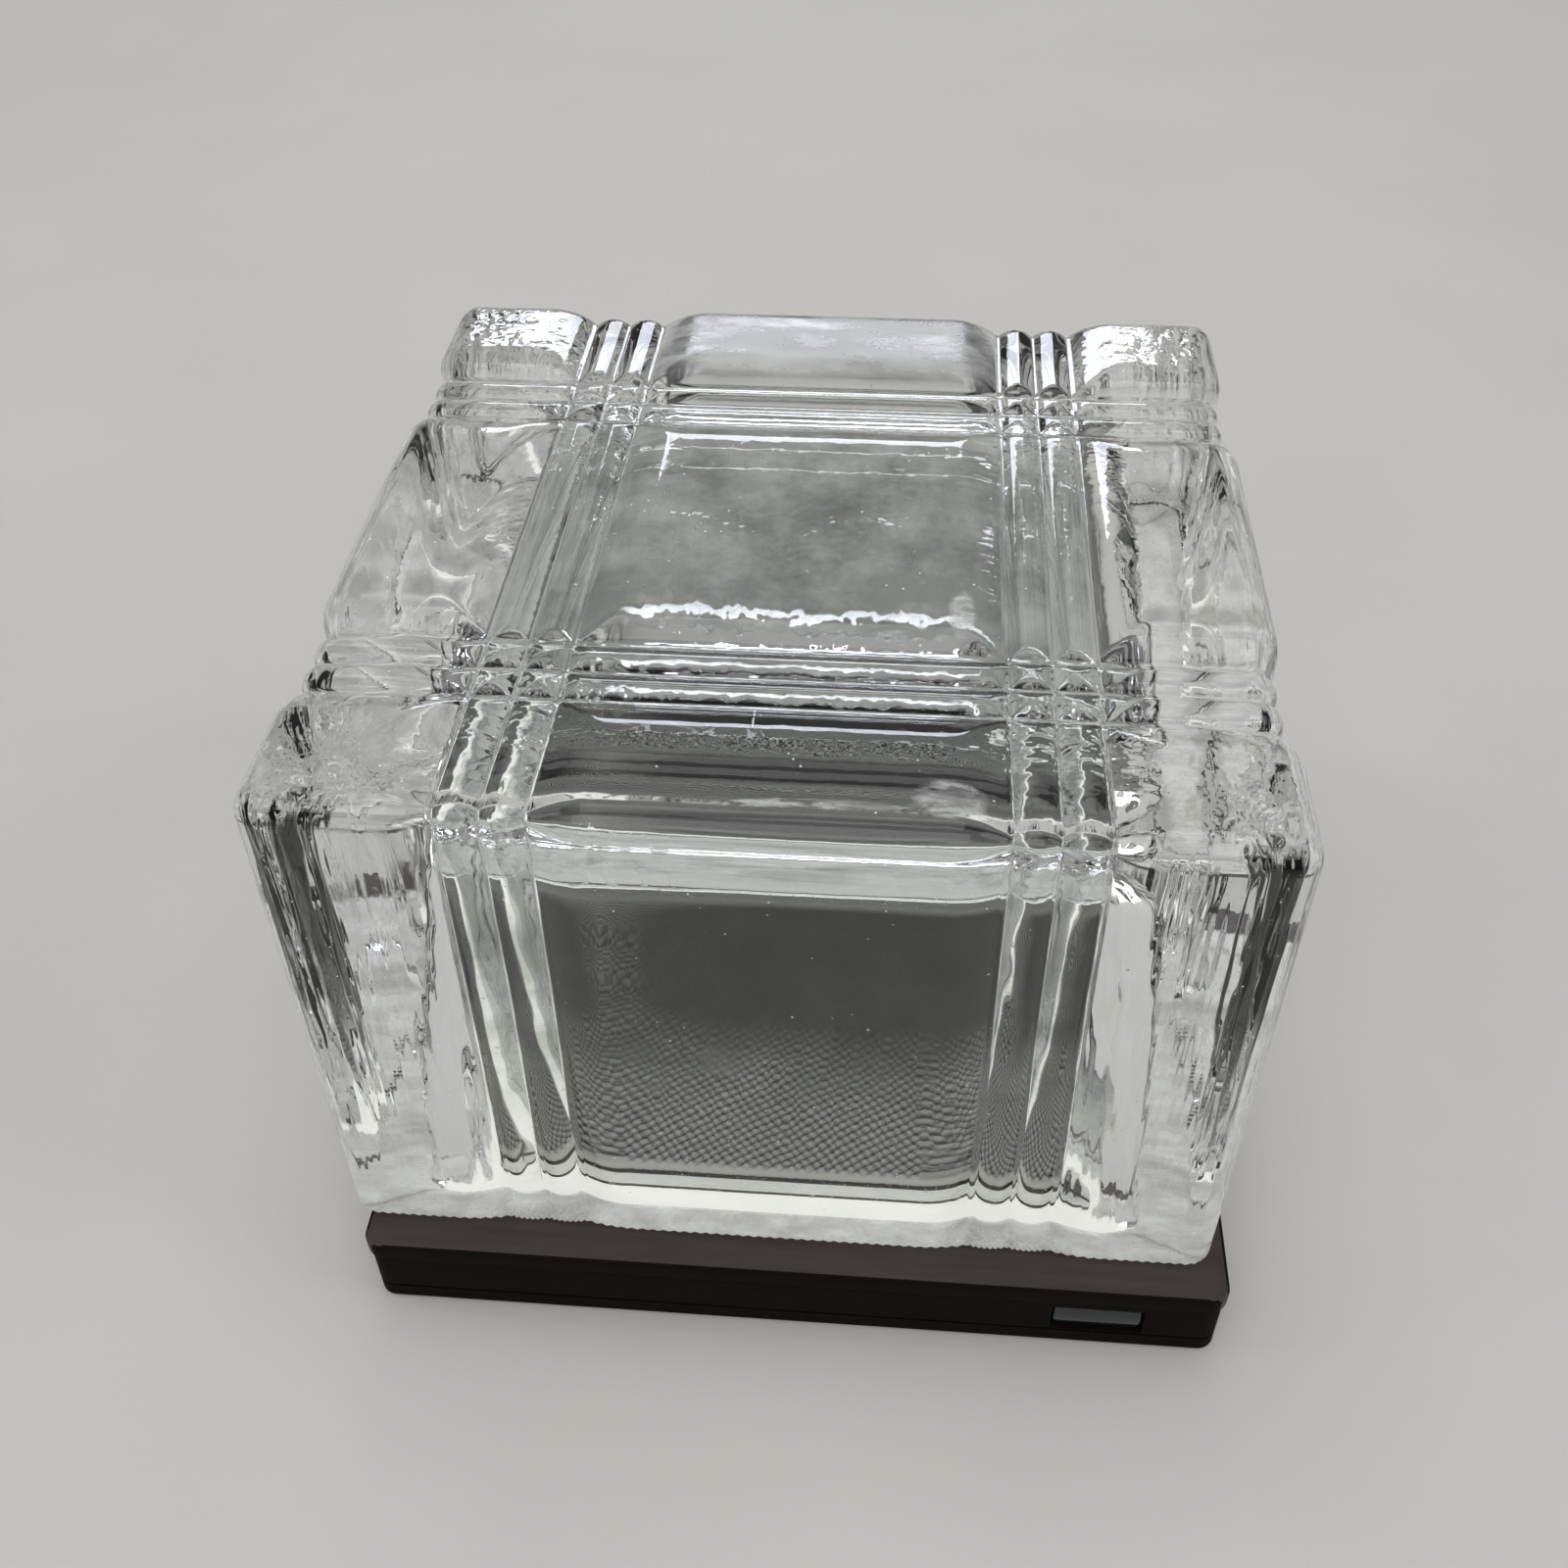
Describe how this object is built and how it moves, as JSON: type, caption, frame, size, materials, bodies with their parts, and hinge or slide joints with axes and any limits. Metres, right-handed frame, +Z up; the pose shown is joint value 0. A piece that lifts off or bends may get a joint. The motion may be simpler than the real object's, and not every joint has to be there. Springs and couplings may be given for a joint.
{
  "type": "lit display cube",
  "caption": "Small clear display cube with reeded crossing bands, open below, over a woven pad on a slim dark lit base.",
  "frame": {"origin": "on the table, below the middle of the object's box", "axes": "+Z up; -Y is the front, with the button; +X to the right seen from the front"},
  "size_m": [0.0776, 0.0826, 0.0589],
  "materials": {
    "clear_moulding": "polished, clear, moulded",
    "dark_satin_plastic": "fine satin moulding, dark plum brown",
    "black_matt_plastic": "spark-eroded matt moulding",
    "smoked_plastic": "gloss, smoke grey",
    "opal_plastic": "diffusing opal white",
    "grey_cloth": "plain basket weave",
    "board_laminate": "white solder mask",
    "nickel_steel": "nickel plated",
    "black_zinc_steel": "black zinc plated",
    "dark_rubber": "moulded, matt",
    "diode_white": "white package with a pale yellow lens"
  },
  "bodies": {
    "root": {"deck_plate": "dark_satin_plastic", "woven_pad": "grey_cloth", "light_ring": "opal_plastic", "base_body": "black_matt_plastic", "bottom_cover": "black_matt_plastic", "cell_holder": "black_matt_plastic", "led_board": "board_laminate", "resistor": "black_matt_plastic", "switch_housing": "black_matt_plastic", "coin_cell_left": "nickel_steel", "cell_contact_left": "nickel_steel", "coin_cell_right": "nickel_steel", "cell_contact_right": "nickel_steel", "led_1": "diode_white", "led_2": "diode_white", "led_3": "diode_white", "led_4": "diode_white", "led_5": "diode_white", "led_6": "diode_white", "led_7": "diode_white", "led_8": "diode_white", "case_screw_front_left": "black_zinc_steel", "rubber_foot_front_left": "dark_rubber", "case_screw_front_right": "black_zinc_steel", "rubber_foot_front_right": "dark_rubber", "case_screw_back_left": "black_zinc_steel", "rubber_foot_back_left": "dark_rubber", "case_screw_back_right": "black_zinc_steel", "rubber_foot_back_right": "dark_rubber"},
    "cube": {"display_cube": "clear_moulding"},
    "door": {"battery_door": "black_matt_plastic", "bridge_plate": "nickel_steel"},
    "button": {"power_button": "smoked_plastic", "switch_plunger": "opal_plastic"}
  },
  "joints": [
    {"name": "cube_lift", "type": "slide", "parent": "root", "child": "cube", "axis": [0, 0, 1], "range_m": [0, 0.065]},
    {"name": "door_slide", "type": "slide", "parent": "root", "child": "door", "axis": [0, 1, 0], "range_m": [0, 0.04]},
    {"name": "button_press", "type": "slide", "parent": "root", "child": "button", "axis": [0, 1, 0], "range_m": [0, 0.001], "stiffness_N_per_m": 400}
  ]
}
